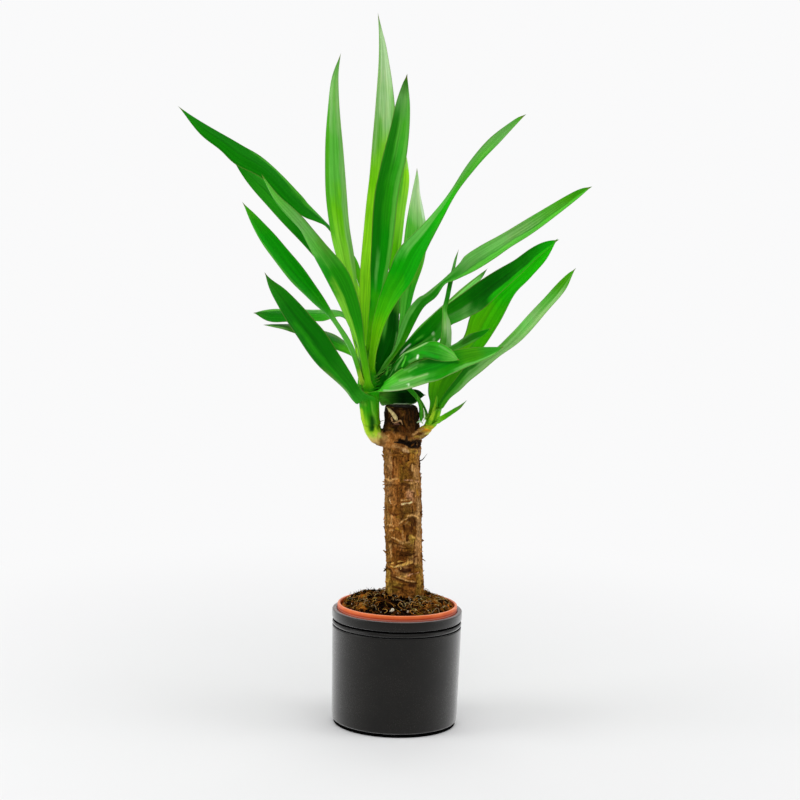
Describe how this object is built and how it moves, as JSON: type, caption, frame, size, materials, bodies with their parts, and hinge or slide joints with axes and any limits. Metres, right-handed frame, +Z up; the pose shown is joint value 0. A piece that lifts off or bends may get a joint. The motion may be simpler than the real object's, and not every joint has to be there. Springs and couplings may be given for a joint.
{
  "type": "potted yucca",
  "caption": "Yucca with leafy shoots on a bark-covered cane, planted in a nursery pot of soil inside a dark ceramic cover pot.",
  "frame": {"origin": "centre of the flat underside of the cover pot, on the surface it stands on", "axes": "+Z up along the pot's axis; +X to the right and -Y towards the viewer when the plant is seen from its front"},
  "size_m": [0.4481, 0.333, 0.7647],
  "materials": {
    "glaze": "satin",
    "terracotta_plastic": "satin",
    "soil": "matte",
    "bark": "matte",
    "dried_husk": "matte",
    "shoot_sheath": "satin",
    "leaf_dark": "satin",
    "leaf_mid": "satin",
    "leaf_fresh": "satin"
  },
  "bodies": {
    "root": {"cachepot": "glaze", "nursery_pot": "terracotta_plastic", "soil": "soil", "cane_trunk": "bark", "dried_bract": "dried_husk", "shoot_left": "shoot_sheath", "shoot_right": "shoot_sheath", "leaf_01": "leaf_dark", "leaf_02": "leaf_dark", "leaf_03": "leaf_mid", "leaf_04": "leaf_mid", "leaf_05": "leaf_mid", "leaf_06": "leaf_dark", "leaf_07": "leaf_mid", "leaf_08": "leaf_dark", "leaf_09": "leaf_dark", "leaf_10": "leaf_mid", "leaf_11": "leaf_dark", "leaf_12": "leaf_fresh", "leaf_13": "leaf_mid", "leaf_14": "leaf_fresh", "leaf_15": "leaf_mid", "leaf_16": "leaf_dark", "leaf_17": "leaf_fresh", "leaf_18": "leaf_mid", "leaf_19": "leaf_mid", "leaf_20": "leaf_mid", "leaf_21": "leaf_mid", "leaf_22": "leaf_dark", "leaf_23": "leaf_fresh", "leaf_24": "leaf_dark", "leaf_25": "leaf_mid", "leaf_26": "leaf_dark", "leaf_27": "leaf_mid", "leaf_28": "leaf_dark", "leaf_29": "leaf_dark"}
  },
  "joints": []
}
